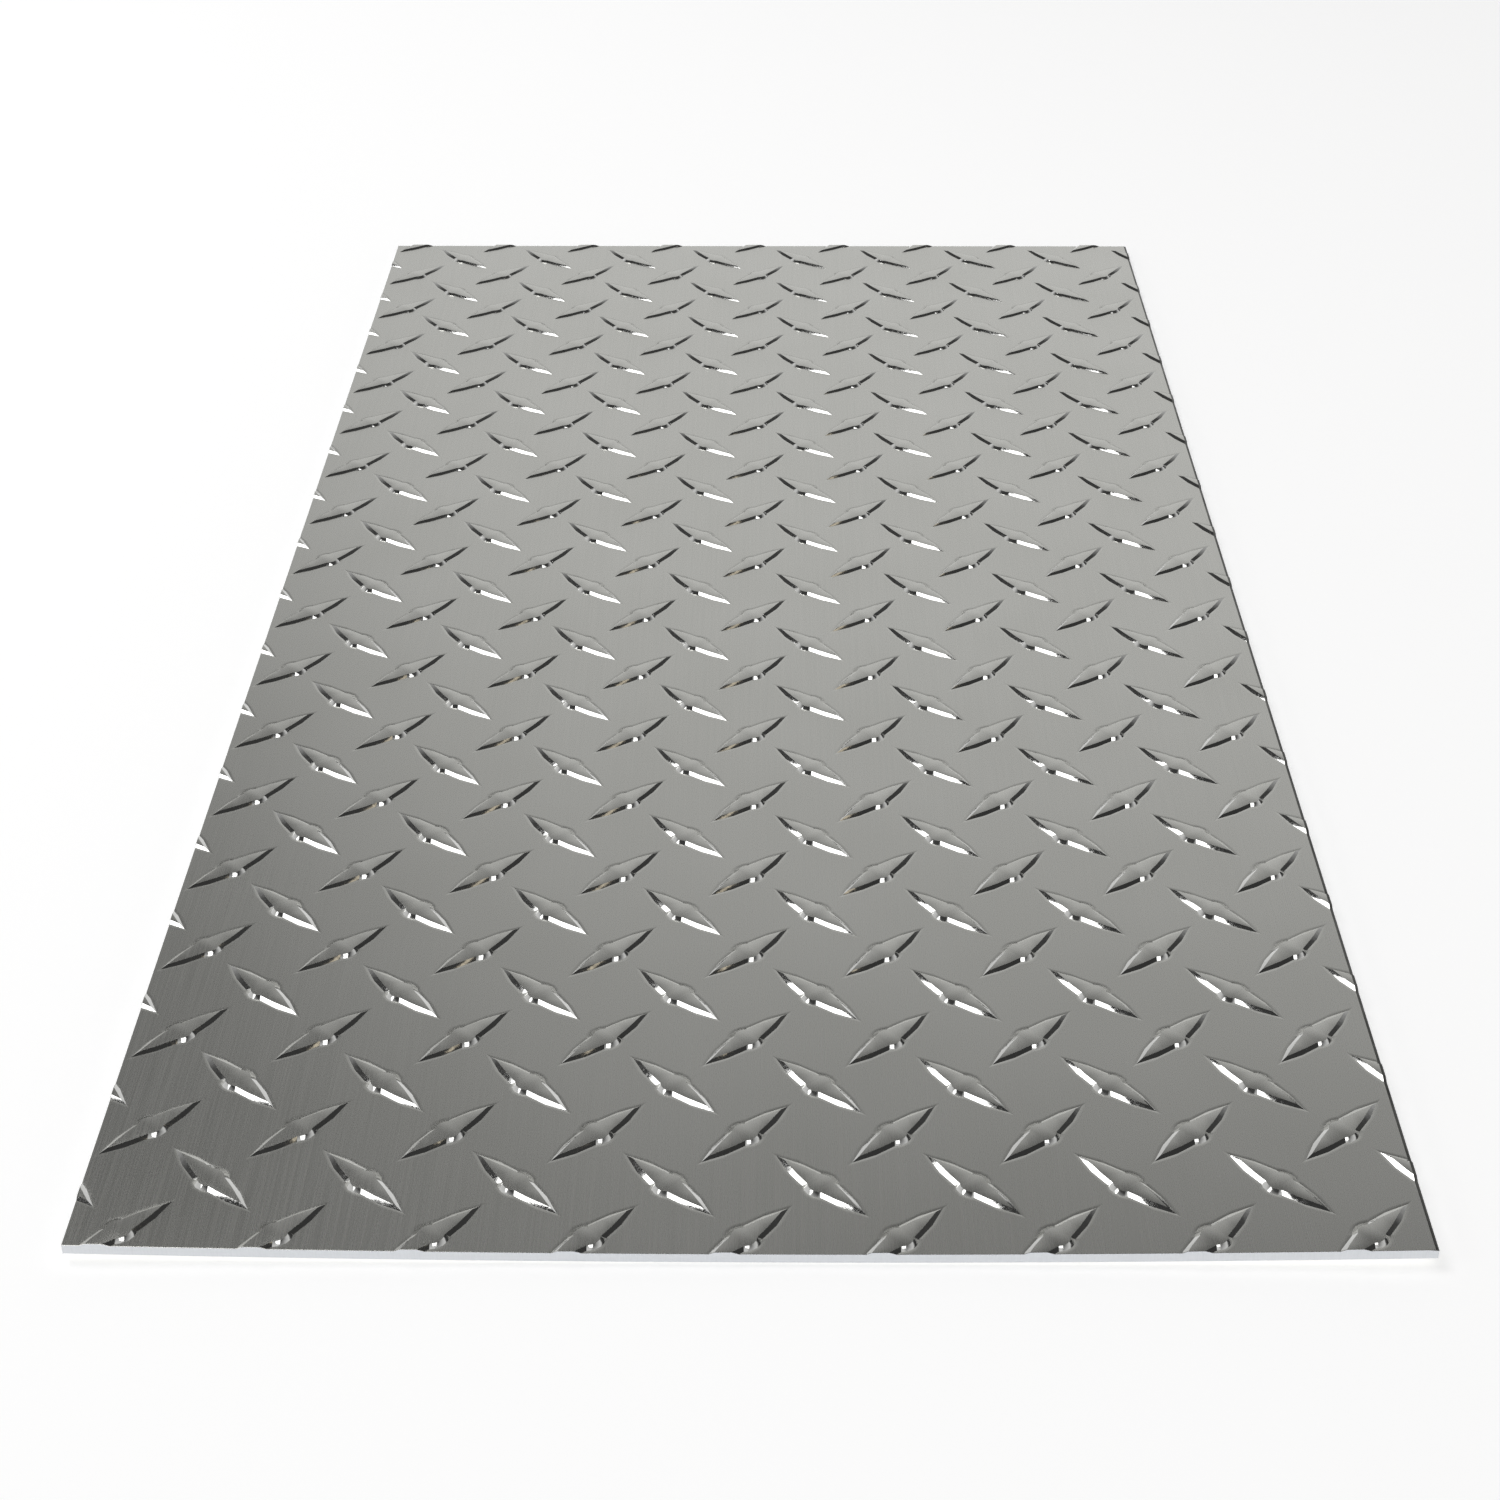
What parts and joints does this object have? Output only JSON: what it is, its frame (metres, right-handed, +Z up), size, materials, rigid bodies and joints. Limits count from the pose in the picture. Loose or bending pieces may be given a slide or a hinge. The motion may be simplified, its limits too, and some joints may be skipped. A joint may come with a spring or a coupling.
{
  "type": "aluminum tread sheet",
  "caption": "Flat rectangular aluminum sheet with raised diamond lugs on its upper face, used for treads, kick plates, ramps and protective cladding.",
  "frame": {"origin": "middle of the flat underside", "axes": "+X across the sheet's width, +Y along its length, +Z up out of the lug face"},
  "size_m": [0.3048, 0.6096, 0.0031],
  "materials": {
    "rolled_aluminium": "satin rolled face with bright lug sides and sheared edges"
  },
  "bodies": {
    "root": {"tread_sheet": "rolled_aluminium"}
  },
  "joints": []
}
